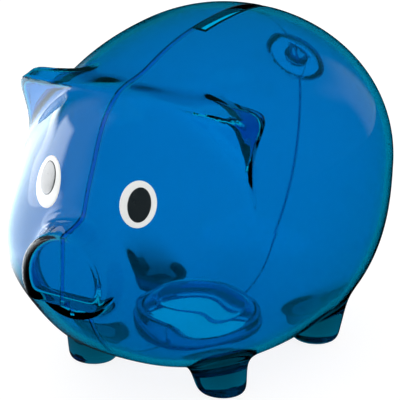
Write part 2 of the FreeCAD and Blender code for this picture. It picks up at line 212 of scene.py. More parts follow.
def legs(x, y, z, inset=0.0):
    field = None
    slope = (LEG_ROOT_RADIUS - FOOT_RADIUS) / LEG_HEIGHT
    for foot_x, foot_y, lean_x, lean_y in LEGS:
        radius = FOOT_RADIUS + slope * z - inset
        from_axis = np.hypot(np.abs(x) - foot_x - lean_x * z, y - foot_y - lean_y * z)
        side = (from_axis - radius) / math.hypot(1.0, slope)
        leg = np.maximum(smooth_max(side, inset - z, LEG_EDGE_BLEND), z - LEG_HEIGHT + inset)
        field = leg if field is None else np.minimum(field, leg)
    return field


TAIL_Y, TAIL_Z = 52.2, 61.0
TAIL_TILT = math.radians(28.0 - 90.0)
TAIL_RING_RADIUS, TAIL_TUBE_RADIUS, TAIL_ROOT_BLEND = 4.9, 2.8, 1.0


def tail(x, y, z, inset=0.0):
    from_y, from_z = y - TAIL_Y, z - TAIL_Z
    along = -math.sin(TAIL_TILT) * from_y + math.cos(TAIL_TILT) * from_z
    radial = np.sqrt(np.maximum(x * x + from_y**2 + from_z**2 - along**2, 0.0))
    return np.hypot(radial - TAIL_RING_RADIUS, along) - TAIL_TUBE_RADIUS + inset


def pig(x, y, z, inset=0.0):
    """The whole outer form."""
    field = smooth_min(trunk(x, y, z, inset), ears(x, y, z, (inset,) * 6), EAR_ROOT_BLEND)
    field = smooth_min(field, snout(x, y, z, inset), SNOUT_ROOT_BLEND)
    field = smooth_min(field, legs(x, y, z, inset), LEG_ROOT_BLEND)
    return smooth_min(field, tail(x, y, z, inset), TAIL_ROOT_BLEND)


def cavity(x, y, z):
    """The hollow inside: the ears and the tail have thinner walls and the legs are solid."""
    field = smooth_min(trunk(x, y, z, WALL), ears(x, y, z, EAR_WALLS), EAR_HOLLOW_BLEND)
    field = smooth_min(field, snout(x, y, z, WALL), SNOUT_HOLLOW_BLEND)
    return smooth_min(field, tail(x, y, z, TAIL_WALL), TAIL_ROOT_BLEND)


# ------------------------------------------------------------- mesh building


def gradient(field, points, step=0.02):
    columns = []
    for axis in np.eye(3):
        ahead = field(*(points + step * axis).T)
        behind = field(*(points - step * axis).T)
        columns.append((ahead - behind) / (2 * step))
    return np.stack(columns, axis=1)


LEAST_STEEPNESS = 1e-3


def settle(field, points, rounds=4):
    """Moves points onto the field's skin by Newton steps."""
    for _ in range(rounds):
        slope = gradient(field, points)
        steepness = np.maximum((slope**2).sum(1), LEAST_STEEPNESS)
        points = points - slope * (field(*points.T) / steepness)[:, None]
    return points


def mesh_object(name, points, faces):
    mesh = bpy.data.meshes.new(name)
    mesh.from_pydata(np.asarray(points).tolist(), [], [tuple(face) for face in faces])
    mesh.update()
    made = bpy.data.objects.new(name, mesh)
    bpy.context.scene.collection.objects.link(made)
    return made


def signed_volume(points, quads):
    a, b, c, d = (points[quads[:, i]] for i in range(4))
    first = np.einsum("ij,ij->i", a, np.cross(b, c)).sum()
    second = np.einsum("ij,ij->i", a, np.cross(c, d)).sum()
    return (first + second) / 6


GRID_BAND_VOXELS = 3.0


def field_solid(name, field, low, high, voxel):
    """A closed quad mesh of a field's skin, settled exactly onto it."""
    start = np.floor(np.array(low) / voxel).astype(int)
    stop = np.ceil(np.array(high) / voxel).astype(int)
    axes = [np.arange(start[i], stop[i] + 1) * voxel for i in range(3)]
    x, y, z = np.meshgrid(*axes, indexing="ij", sparse=True)
    grid = openvdb.FloatGrid(GRID_BAND_VOXELS * voxel)
    grid.copyFromArray(field(x, y, z).astype(np.float32), ijk=tuple(int(i) for i in start))
    grid.transform = openvdb.createLinearTransform(voxelSize=voxel)
    points, quads = grid.convertToQuads(isovalue=0.0)
    points = settle(field, points.astype(float))
    if signed_volume(points, quads) < 0:
        quads = quads[:, ::-1]
    return mesh_object(name, points, quads)


def block(name, low, high):
    """A plain cutting block, which never shows."""
    corners = [(x, y, z) for x in (low[0], high[0]) for y in (low[1], high[1]) for z in (low[2], high[2])]
    faces = [(0, 1, 3, 2), (4, 6, 7, 5), (0, 4, 5, 1), (2, 3, 7, 6), (0, 2, 6, 4), (1, 5, 7, 3)]
    return mesh_object(name, corners, faces)


def rounded_profile(corners, arc_steps=6):
    """A closed outline from (radius, height, rounding) corners."""
    outline = []
    count = len(corners)
    for index, (r, z, rounding) in enumerate(corners):
        here = np.array((r, z))
        if rounding <= 0:
            outline.append(here)
            continue
        before = np.array(corners[index - 1][:2]) - here
        after = np.array(corners[(index + 1) % count][:2]) - here
        before, after = before / np.linalg.norm(before), after / np.linalg.norm(after)
        half = math.acos(np.clip(before @ after, -1, 1)) / 2
        run = rounding / math.tan(half)
        centre = here + (before + after) / np.linalg.norm(before + after) * rounding / math.sin(half)
        first, last = here + before * run - centre, here + after * run - centre
        for step in range(arc_steps + 1):
            share = step / arc_steps
            spoke = first * (1 - share) + last * share
            outline.append(centre + spoke / np.linalg.norm(spoke) * rounding)
    return outline


WELD_DISTANCE = 1e-5


def close_up(piece):
    """Welds points that coincide and turns every face outwards."""
    work = bmesh.new()
    work.from_mesh(piece.data)
    bmesh.ops.remove_doubles(work, verts=work.verts, dist=WELD_DISTANCE)
    bmesh.ops.recalc_face_normals(work, faces=work.faces)
    work.to_mesh(piece.data)
    work.free()
    return piece


def lathe(name, outline, centre, segments=192):
    """A solid of revolution about a vertical axis, from a closed outline."""
    points, rings = [], []
    for r, z in outline:
        if r < WELD_DISTANCE:
            rings.append([len(points)] * segments)
            points.append((centre[0], centre[1], z))
            continue
        rings.append(list(range(len(points), len(points) + segments)))
        for step in range(segments):
            turn = 2 * math.pi * step / segments
            points.append((centre[0] + r * math.cos(turn), centre[1] + r * math.sin(turn), z))
    faces = []
    for index, ring in enumerate(rings):
        ahead = rings[(index + 1) % len(rings)]
        if len(set(ring)) == 1 and len(set(ahead)) == 1:
            continue
        for step in range(segments):
            side = (step + 1) % segments
            face = [ring[step], ring[side], ahead[side], ahead[step]]
            faces.append([v for i, v in enumerate(face) if v not in face[:i]])
    return close_up(mesh_object(name, points, faces))


def carve(base, tool, operation):
    """Applies one exact boolean to base, and leaves the tool for later use."""
    modifier = base.modifiers.new("carve", "BOOLEAN")
    modifier.solver = "MANIFOLD"
    modifier.operation = operation
    modifier.object = tool
    bpy.context.view_layer.update()
    graph = bpy.context.evaluated_depsgraph_get()
    shaped = bpy.data.meshes.new_from_object(base.evaluated_get(graph))
    base.modifiers.clear()
    base.data = shaped
    if not shaped.polygons:
        raise RuntimeError(f"carving {base.name} with {tool.name} left nothing")
    return base


def copy_of(source, name):
    made = bpy.data.objects.new(name, source.data.copy())
    bpy.context.scene.collection.objects.link(made)
    return made


def discard(*tools):
    for tool in tools:
        bpy.data.objects.remove(tool)


def drop_leftovers(piece):
    """Keeps a piece's largest connected part: the rest are flaps that the booleans left."""
    work = bmesh.new()
    work.from_mesh(piece.data)
    unseen = set(work.verts)
    largest = set()
    while unseen:
        part = set()
        front = [unseen.pop()]
        while front:
            corner = front.pop()
            part.add(corner)
            for edge in corner.link_edges:
                beside = edge.other_vert(corner)
                if beside in unseen:
                    unseen.remove(beside)
                    front.append(beside)
        if len(part) > len(largest):
            largest = part
    spare = [corner for corner in work.verts if corner not in largest]
    bmesh.ops.delete(work, geom=spare, context="VERTS")
    work.to_mesh(piece.data)
    work.free()


SHARP_ANGLE = math.radians(32.0)
ON_SKIN = 0.02
# least cosine between a face and the skin for the face to take the skin's normals
AGREEMENT = 0.9
TINY = 1e-9


def finish_normals(piece, skins):
    """Smooth shading, with exact normals on faces that lie on a field's skin.

    skins holds (field, sign) pairs; sign is -1 where the solid lies outside it."""
    mesh = piece.data
    mesh.polygons.foreach_set("use_smooth", np.ones(len(mesh.polygons), bool))
    mesh.set_sharp_from_angle(angle=SHARP_ANGLE)
    normals = np.empty(len(mesh.loops) * 3, np.float32)
    mesh.corner_normals.foreach_get("vector", normals)
    normals = normals.reshape(-1, 3)
    points = np.empty(len(mesh.vertices) * 3, np.float32)
    mesh.vertices.foreach_get("co", points)
    points = points.reshape(-1, 3).astype(float)
    corners = np.empty(len(mesh.loops), np.int32)
    mesh.loops.foreach_get("vertex_index", corners)
    totals = np.empty(len(mesh.polygons), np.int32)
    mesh.polygons.foreach_get("loop_total", totals)
    face_of_corner = np.repeat(np.arange(len(totals)), totals)
    face_normals = np.empty(len(mesh.polygons) * 3, np.float32)
    mesh.polygons.foreach_get("normal", face_normals)
    face_normals = face_normals.reshape(-1, 3)
    for field, sign in skins:
        near = np.abs(field(*points.T)) < ON_SKIN
        slope = np.zeros_like(points)
        slope[near] = gradient(field, points[near])
        slope /= np.maximum(np.linalg.norm(slope, axis=1, keepdims=True), TINY)
        slope *= sign
        whole = np.ones(len(totals), bool)
        np.logical_and.at(whole, face_of_corner, near[corners])
        agreeing = (slope[corners] * face_normals[face_of_corner]).sum(1) > AGREEMENT
        use = whole[face_of_corner] & agreeing
        normals[use] = slope[corners][use]
    mesh.normals_split_custom_set(normals.tolist())


def to_metres(piece):
    piece.data.transform(Matrix.Scale(MM, 4))
    piece.data.update()


# ------------------------------------------------------------------- shells

VOXEL = 0.64
MARGIN = 3.0
FORM_LOW = SHELL_LOW - MARGIN
FORM_HIGH = SHELL_HIGH + MARGIN
BIG = 200.0

outer_form = field_solid("outer_form", pig, FORM_LOW, FORM_HIGH, VOXEL)
inner_form = field_solid("inner_form", cavity, FORM_LOW, FORM_HIGH, VOXEL)
whole_shell = carve(copy_of(outer_form, "whole_shell"), inner_form, "DIFFERENCE")

# belly opening: a collar round the bore, and a recess that the plug's flange sits in
OPENING_RADIUS = 13.6
COLLAR_WALL, COLLAR_TOP_Z = 1.6, 9.0
SEAT_Z, SEAT_RADIUS = 5.4, 16.1
SEAT_DRAFT = 0.4
RIM_ROUND = 0.35
BORE_TOP_Z = 20.0
# the cutter starts below the floor, and the collar runs into the bore that is cut later
BELOW_FLOOR_Z = -1.0
COLLAR_OVERLAP = 0.5
plug_axis = (0.0, PLUG_Y)
collar_outer = OPENING_RADIUS + COLLAR_WALL
collar_outline = rounded_profile(
    [
        (OPENING_RADIUS - COLLAR_OVERLAP, SEAT_Z, 0.0),
        (collar_outer, SEAT_Z, 0.0),
        (collar_outer, COLLAR_TOP_Z, RIM_ROUND),
        (OPENING_RADIUS - COLLAR_OVERLAP, COLLAR_TOP_Z, 0.0),
    ]
)
collar = lathe("collar", collar_outline, plug_axis)
opening_outline = rounded_profile(
    [
        (0.0, BELOW_FLOOR_Z, 0.0),
        (SEAT_RADIUS + SEAT_DRAFT, BELOW_FLOOR_Z, 0.0),
        (SEAT_RADIUS, SEAT_Z, RIM_ROUND),
        (OPENING_RADIUS, SEAT_Z, 0.0),
        (OPENING_RADIUS, COLLAR_TOP_Z - RIM_ROUND, 0.0),
        (OPENING_RADIUS + RIM_ROUND, COLLAR_TOP_Z, 0.0),
        (OPENING_RADIUS + RIM_ROUND, BORE_TOP_Z, 0.0),
        (0.0, BORE_TOP_Z, 0.0),
    ]
)
opening = lathe("opening", opening_outline, plug_axis)
carve(whole_shell, collar, "UNION")
carve(whole_shell, opening, "DIFFERENCE")

# lap joint: a tongue on the right half runs in a rebate in the left half
# a band's grid reaches this far each way, and its form ends a little before that
BAND_REACH, BAND_CAP = 3.0, 2.5
band_low = np.array((-BAND_REACH, FORM_LOW[1], FORM_LOW[2]))
band_high = np.array((BAND_REACH, FORM_HIGH[1], FORM_HIGH[2]))


def lap_band(name, inset, low_x, high_x):
    """The wall's inner part between one inset and the cavity, between two X planes."""

    def capped(x, y, z):
        return np.maximum(pig(x, y, z, inset), np.abs(x) - BAND_CAP)

    band = field_solid(name, capped, band_low, band_high, VOXEL)
    limits = block(name + "_limits", (low_x, -BIG, -BIG), (high_x, BIG, BIG))
    carve(band, limits, "INTERSECT")
    carve(band, inner_form, "DIFFERENCE")
    carve(band, opening, "DIFFERENCE")
    discard(limits)
    return band


HALF_GAP = 0.03
SLOT_WIDTH = 3.2
SLOT_FRONT_Y, SLOT_REAR_Y = -1.4, 32.8
SLOT_BOTTOM_Z = 70.0
# both lap bands start this far inside the right half
LAP_START_X = -1.0
tongue = lap_band("tongue", TONGUE_INSET, LAP_START_X, LAP_WIDTH)
rebate = lap_band("rebate", REBATE_INSET, LAP_START_X, LAP_WIDTH + LAP_END_GAP)
slot_cut = block("slot_cut", (-HALF_GAP, SLOT_FRONT_Y, SLOT_BOTTOM_Z), (SLOT_WIDTH, SLOT_REAR_Y, BIG))


# the groove's cutter: its half width at the skin, its depth, and how far it stands out
GROOVE_HALF_WIDTH, GROOVE_DEPTH, GROOVE_PROUD = 0.14, 0.16, 0.10
GROOVE_STEPS, GROOVE_HALVINGS = 1200, 40
BEYOND_SKIN = 90.0


def seam_groove():
    """A V-shaped ring let into the skin all round the centre plane."""
    steps = GROOVE_STEPS
    angles = np.arange(steps) * 2 * math.pi / steps
    low, high = np.zeros(steps), np.full(steps, BEYOND_SKIN)
    across = np.zeros(steps)
    for _ in range(GROOVE_HALVINGS):
        middle = (low + high) / 2
        inside = pig(across, TRUNK_Y + middle * np.cos(angles), TRUNK_Z + middle * np.sin(angles)) < 0
        low, high = np.where(inside, middle, low), np.where(inside, high, middle)
    path = np.stack([across, TRUNK_Y + low * np.cos(angles), TRUNK_Z + low * np.sin(angles)], axis=1)
    out = gradient(pig, path)
    out[:, 0] = 0.0
    out /= np.linalg.norm(out, axis=1, keepdims=True)
    side = np.array((1.0, 0.0, 0.0))
    flare = GROOVE_HALF_WIDTH * (GROOVE_DEPTH + GROOVE_PROUD) / GROOVE_DEPTH
    mouth = path + out * GROOVE_PROUD
    points = np.concatenate([path - out * GROOVE_DEPTH, mouth + side * flare, mouth - side * flare])
    faces = []
    for row in range(3):
        beside = (row + 1) % 3
        for step in range(steps):
            ahead = (step + 1) % steps
            a, b = row * steps + step, row * steps + ahead
            c, d = beside * steps + ahead, beside * steps + step
            faces.append((a, b, c, d))
    quads = np.array(faces)
    if signed_volume(points, quads) < 0:
        faces = [face[::-1] for face in faces]
    return mesh_object("seam_groove", points, faces)


groove = seam_groove()
left_limits = block("left_limits", (HALF_GAP, -BIG, -BIG), (BIG, BIG, BIG))
right_limits = block("right_limits", (-BIG, -BIG, -BIG), (-HALF_GAP, BIG, BIG))
left_shell = carve(copy_of(whole_shell, "shell_left_half"), left_limits, "INTERSECT")
right_shell = carve(whole_shell, right_limits, "INTERSECT")
right_shell.name = "shell_right_half"
carve(left_shell, rebate, "DIFFERENCE")
carve(left_shell, slot_cut, "DIFFERENCE")
carve(tongue, slot_cut, "DIFFERENCE")
carve(right_shell, tongue, "UNION")
carve(left_shell, groove, "DIFFERENCE")
carve(right_shell, groove, "DIFFERENCE")
discard(outer_form, inner_form, collar, opening, tongue, rebate, slot_cut, groove, left_limits, right_limits)
for half in (left_shell, right_shell):
    drop_leftovers(half)
    finish_normals(half, ((pig, 1), (cavity, -1)))
    to_metres(half)

# --------------------------------------------------------------------- plug

PLUG_NECK_RADIUS = 13.55
PLUG_TOP_RADIUS = 11.2
PLUG_WALL = 1.2
FLANGE_RADIUS, FLANGE_Z = 15.8, 4.0
# the flange is pressed a hair into its seat, so that no light passes between them
FLANGE_PRESS = 0.02
FLANGE_TOP_Z = SEAT_Z + FLANGE_PRESS
PLUG_TOP_Z = PLUG_HIGH[2]
PLUG_TOP_ROUND, PLUG_SHOULDER_ROUND = 0.8, 0.6
PLUG_NECK_FILLET, FLANGE_TOP_ROUND, FLANGE_BOTTOM_ROUND = 0.15, 0.3, 0.4


def make_plug():
    ceiling = PLUG_TOP_Z - PLUG_WALL
    mouth_radius = PLUG_NECK_RADIUS - PLUG_WALL
    outline = rounded_profile(
        [
            (0.0, PLUG_TOP_Z, 0.0),
            (PLUG_TOP_RADIUS, PLUG_TOP_Z, PLUG_TOP_ROUND),
            (PLUG_NECK_RADIUS, COLLAR_TOP_Z, PLUG_SHOULDER_ROUND),
            (PLUG_NECK_RADIUS, FLANGE_TOP_Z, PLUG_NECK_FILLET),
            (FLANGE_RADIUS, FLANGE_TOP_Z, FLANGE_TOP_ROUND),
            (FLANGE_RADIUS, FLANGE_Z, FLANGE_BOTTOM_ROUND),
            (mouth_radius, FLANGE_Z, FLANGE_BOTTOM_ROUND),
            (mouth_radius, COLLAR_TOP_Z - PLUG_WALL / 2, PLUG_SHOULDER_ROUND),
            (PLUG_TOP_RADIUS - PLUG_WALL, ceiling, PLUG_TOP_ROUND),
            (0.0, ceiling, 0.0),
        ]
    )
    plug = lathe("plug_cup", outline, plug_axis)
    finish_normals(plug, ())
    to_metres(plug)
    return plug


plug = make_plug()

# --------------------------------------------------------------------- eyes

EYE_HALF_WIDTH = 4.05
PUPIL_HALF_WIDTH, PUPIL_HALF_HEIGHT = 2.55, 3.8
INK = 0.08
INK_GAP = 0.012
INK_SEGMENTS, INK_RINGS = 96, 14
# rings crowd towards the rim, where the ink's top falls off steeply
RIM_CROWDING, RIM_STEEPNESS = 1.5, 24
INK_SETTLE_ROUNDS = 6
# centre (mm), half height, lean (degrees), pupil shift across and up
EYES = {
    "left": (np.array((11.88, -45.4, 55.04)), 5.12, 5.2, 0.25, -0.12),
    "right": (np.array((-10.75, -45.7, 55.7)), 5.85, -19.0, -0.3, 0.8),
}


def ink_oval(name, centre, shift, half_width, half_height, lean, lift):
    """A thin layer of ink that follows the skin and is rounded off towards its rim."""
    out = gradient(pig, centre[None])[0]
    out /= np.linalg.norm(out)
    side = np.cross((0.0, 0.0, 1.0), out)
    side /= np.linalg.norm(side)
    up = np.cross(out, side)
    tilt = math.radians(lean)
    major = side * math.sin(tilt) + up * math.cos(tilt)
    minor = side * math.cos(tilt) - up * math.sin(tilt)
    middle = centre + side * shift[0] + up * shift[1]
    segments, rings = INK_SEGMENTS, INK_RINGS
    turns = np.arange(segments) * 2 * math.pi / segments
    shares = [1.0 - (1.0 - (ring + 1) / rings) ** RIM_CROWDING for ring in range(rings)]
    layers = []
    for top in (True, False):
        rows = [middle[None]]
        for share in shares:
            row = np.outer(np.cos(turns) * half_width * share, minor)
            row += np.outer(np.sin(turns) * half_height * share, major)
            rows.append(middle + row)
        points = settle(pig, np.concatenate(rows), INK_SETTLE_ROUNDS)
        normals = gradient(pig, points)
        normals /= np.linalg.norm(normals, axis=1, keepdims=True)
        edge = np.concatenate([[0.0], np.repeat(shares, segments)])
        dome = INK * np.sqrt(np.maximum(1.0 - edge**RIM_STEEPNESS, 0.0))
        height = lift + dome if top else np.full(len(points), lift)
        layers.append(points + normals * height[:, None])
    count = len(layers[0])
    faces = []
    for layer in (0, 1):
        base = layer * count
        for step in range(segments):
            ahead = (step + 1) % segments
            fan = (base, base + 1 + step, base + 1 + ahead)
            faces.append(fan if layer == 0 else fan[::-1])
            for ring in range(rings - 1):
                inner, outer = base + 1 + ring * segments, base + 1 + (ring + 1) * segments
                quad = (inner + step, outer + step, outer + ahead, inner + ahead)
                faces.append(quad if layer == 0 else quad[::-1])
    # the two layers meet at the rim, where the dome has no height, and are welded there
    oval = close_up(mesh_object(name, np.concatenate(layers), faces))
    finish_normals(oval, ())
    to_metres(oval)
    return oval


eye_whites, eye_pupils = {}, {}
for side, (centre, half_height, lean, across, rise) in EYES.items():
    eye_whites[side] = ink_oval(
        f"eye_white_{side}", centre, (0.0, 0.0), EYE_HALF_WIDTH, half_height, lean, INK_GAP
    )
    eye_pupils[side] = ink_oval(
        f"eye_pupil_{side}",
        centre,
        (across, rise),
        PUPIL_HALF_WIDTH,
        PUPIL_HALF_HEIGHT,
        lean,
        INK + 2 * INK_GAP,
    )

# ---------------------------------------------------------------- materials


def node_material(name):
    made = bpy.data.materials.new(name)
    made.use_nodes = True
    tree = made.node_tree
    tree.nodes.clear()
    return made, tree


def add(tree, kind, **inputs):
    node = tree.nodes.new(kind)
    for key, value in inputs.items():
        node.inputs[key.replace("_", " ")].default_value = value
    return node


# nearly all of a noise texture's values lie between these two
NOISE_LOW, NOISE_HIGH = 0.3, 0.7


def noise_between(tree, coordinates, scale, low, high, detail=4.0):
    """A value that wanders between low and high over the piece."""
    noise = add(tree, "ShaderNodeTexNoise", Scale=scale, Detail=detail)
    tree.links.new(coordinates, noise.inputs["Vector"])
    spread = tree.nodes.new("ShaderNodeMapRange")
    spread.inputs["From Min"].default_value = NOISE_LOW
    spread.inputs["From Max"].default_value = NOISE_HIGH
    spread.inputs["To Min"].default_value = low
    spread.inputs["To Max"].default_value = high
    tree.links.new(noise.outputs["Fac"], spread.inputs["Value"])
    return spread.outputs["Result"]


IOR_PLASTIC = 1.52
SHADOW_TINT = (0.35, 0.66, 0.88)
# noise scales are per metre; the handling marks' scale is set for each piece
TINT_SCALE, FLOW_SCALE = 45.0, 60.0
SCRATCH_DETAIL, FLOW_DETAIL = 6.0, 1.0
PLASTIC_ROUGHNESS = (0.012, 0.05)
FLOW_STRENGTH, FLOW_HEIGHT = 0.012, 0.0004


def clear_plastic(name, deep, light, absorb, density, scratch_scale):
    """See-through tinted plastic with handling marks and a soft tinted shadow."""
    made, tree = node_material(name)
    place = tree.nodes.new("ShaderNodeTexCoord")
    where = place.outputs["Object"]
    tint_mix = tree.nodes.new("ShaderNodeMix")
    tint_mix.data_type = "RGBA"
    tint_mix.inputs["A"].default_value = (*deep, 1.0)
    tint_mix.inputs["B"].default_value = (*light, 1.0)
    tree.links.new(noise_between(tree, where, TINT_SCALE, 0.0, 1.0), tint_mix.inputs["Factor"])
    surface = add(tree, "ShaderNodeBsdfPrincipled", IOR=IOR_PLASTIC)
    surface.inputs["Transmission Weight"].default_value = 1.0
    tree.links.new(tint_mix.outputs["Result"], surface.inputs["Base Color"])
    scratches = noise_between(tree, where, scratch_scale, *PLASTIC_ROUGHNESS, SCRATCH_DETAIL)
    tree.links.new(scratches, surface.inputs["Roughness"])
    bump = add(tree, "ShaderNodeBump", Strength=FLOW_STRENGTH, Distance=FLOW_HEIGHT)
    tree.links.new(noise_between(tree, where, FLOW_SCALE, 0.0, 1.0, FLOW_DETAIL), bump.inputs["Height"])
    tree.links.new(bump.outputs["Normal"], surface.inputs["Normal"])
    through = tree.nodes.new("ShaderNodeBsdfTransparent")
    through.inputs["Color"].default_value = (*SHADOW_TINT, 1.0)
    path = tree.nodes.new("ShaderNodeLightPath")
    choose = tree.nodes.new("ShaderNodeMixShader")
    tree.links.new(path.outputs["Is Shadow Ray"], choose.inputs["Fac"])
    tree.links.new(surface.outputs["BSDF"], choose.inputs[1])
    tree.links.new(through.outputs["BSDF"], choose.inputs[2])
    depth = add(tree, "ShaderNodeVolumeAbsorption", Density=density)
    depth.inputs["Color"].default_value = (*absorb, 1.0)
    out = tree.nodes.new("ShaderNodeOutputMaterial")
    tree.links.new(choose.outputs["Shader"], out.inputs["Surface"])
    tree.links.new(depth.outputs["Volume"], out.inputs["Volume"])
    return made


INK_TINT_SCALE, INK_ROUGHNESS_SCALE, INK_GRAIN_SCALE = 900.0, 500.0, 2500.0
INK_SMOOTHEST, INK_ROUGHEST = 0.8, 1.3
INK_COAT_ROUGHNESS = 0.08
INK_GRAIN_STRENGTH, INK_GRAIN_HEIGHT = 0.15, 0.00002


def printed_ink(name, colour, worn, roughness, gloss):
    """Opaque ink under a coat, with a fine grain."""
    made, tree = node_material(name)
    place = tree.nodes.new("ShaderNodeTexCoord")
    where = place.outputs["Object"]
    tint_mix = tree.nodes.new("ShaderNodeMix")
    tint_mix.data_type = "RGBA"
    tint_mix.inputs["A"].default_value = (*colour, 1.0)
    tint_mix.inputs["B"].default_value = (*worn, 1.0)
    tree.links.new(noise_between(tree, where, INK_TINT_SCALE, 0.0, 1.0), tint_mix.inputs["Factor"])
    surface = tree.nodes.new("ShaderNodeBsdfPrincipled")
    surface.inputs["Specular IOR Level"].default_value = gloss
    surface.inputs["Coat Weight"].default_value = gloss
    surface.inputs["Coat Roughness"].default_value = INK_COAT_ROUGHNESS
    tree.links.new(tint_mix.outputs["Result"], surface.inputs["Base Color"])
    smoothest, roughest = roughness * INK_SMOOTHEST, roughness * INK_ROUGHEST
    rough = noise_between(tree, where, INK_ROUGHNESS_SCALE, smoothest, roughest)
    tree.links.new(rough, surface.inputs["Roughness"])
    bump = add(tree, "ShaderNodeBump", Strength=INK_GRAIN_STRENGTH, Distance=INK_GRAIN_HEIGHT)
    tree.links.new(noise_between(tree, where, INK_GRAIN_SCALE, 0.0, 1.0), bump.inputs["Height"])
    tree.links.new(bump.outputs["Normal"], surface.inputs["Normal"])
    out = tree.nodes.new("ShaderNodeOutputMaterial")
    tree.links.new(surface.outputs["BSDF"], out.inputs["Surface"])
    return made


shell_plastic = clear_plastic(
    "clear_blue_shell",
    deep=(0.0, 0.488, 0.90),
    light=(0.0, 0.502, 0.915),
    absorb=(0.0, 0.70, 0.69),
    density=500.0,
    scratch_scale=300.0,
)
plug_plastic = clear_plastic(
    "clear_blue_plug",
    deep=(0.12, 0.76, 0.93),
    light=(0.14, 0.78, 0.95),
    absorb=(0.0, 0.78, 0.90),
    density=200.0,
    scratch_scale=260.0,
)
white_ink = printed_ink(
    "white_ink", colour=(0.80, 0.81, 0.80), worn=(0.77, 0.79, 0.78), roughness=0.32, gloss=0.5
)
black_ink = printed_ink(
    "black_ink", colour=(0.008, 0.008, 0.009), worn=(0.013, 0.013, 0.014), roughness=0.22, gloss=1.0
)

# piece, material, CAD body, material slot, and the CAD node that it stands for
dressed = [
    (left_shell, shell_plastic, "shell", "shell", "left_shell"),
    (right_shell, shell_plastic, "shell", "shell", "right_shell"),
    (plug, plug_plastic, "plug", "plug", "belly_plug"),
]
for side in EYES:
    dressed.append((eye_whites[side], white_ink, "shell", "white_ink", f"{side}_eye_white"))
    dressed.append((eye_pupils[side], black_ink, "shell", "black_ink", f"{side}_eye_pupil"))
for piece, material, body, slot, node in dressed:
    piece.data.materials.clear()
    piece.data.materials.append(material)
    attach(piece, body)
    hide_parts(node)

# ------------------------------------------------------------ floor and light

FLOOR_RADIUS, FLOOR_SEGMENTS = 3.0, 96
# the floor lies a hair under the feet, so that no two faces share a plane
FLOOR_Z = -0.00002
FLOOR_ALBEDO = (0.2, 0.2, 0.2)
FLOOR_ROUGHNESS = 0.7
FLOOR_GLOW, FLOOR_GLOW_SPREAD, FLOOR_GLOW_SCALE = 0.88, 0.01, 8.0
# the stretch of floor that a glossy skin mirrors as bright: how far to the pig's
# right it begins and is full (metres), its brightness, and its span (degrees)
PATCH_STARTS_X, PATCH_FULL_X = -0.045, -0.10
PATCH_DIMMEST, PATCH_BRIGHTEST = 0.03, 4.6
PATCH_AZIMUTH, PATCH_HALF_WIDTH, PATCH_EDGE = -80.0, 28.0, 32.0
MIRRORED_TINT = (0.85, 0.93, 1.0)


def node_math(tree, operation, first, second=None):
    node = tree.nodes.new("ShaderNodeMath")
    node.operation = operation
    for index, value in enumerate((first, second)):
        if value is None:
            continue
        if isinstance(value, (int, float)):
            node.inputs[index].default_value = value
        else:
            tree.links.new(value, node.inputs[index])
    return node.outputs["Value"]


def mirror_share(tree, path):
    """1 for a ray that a glossy skin has mirrored, and 0 for one that it let through."""
    passed = node_math(tree, "SUBTRACT", 1.0, path.outputs["Is Transmission Ray"])
    return node_math(tree, "MULTIPLY", path.outputs["Is Glossy Ray"], passed)


def azimuth_of(tree, split):
    """Azimuth of a separated vector: 0 straight ahead of the pig, and positive on its left."""
    ahead = node_math(tree, "MULTIPLY", split.outputs["Y"], -1.0)
    return node_math(tree, "ARCTAN2", split.outputs["X"], ahead)


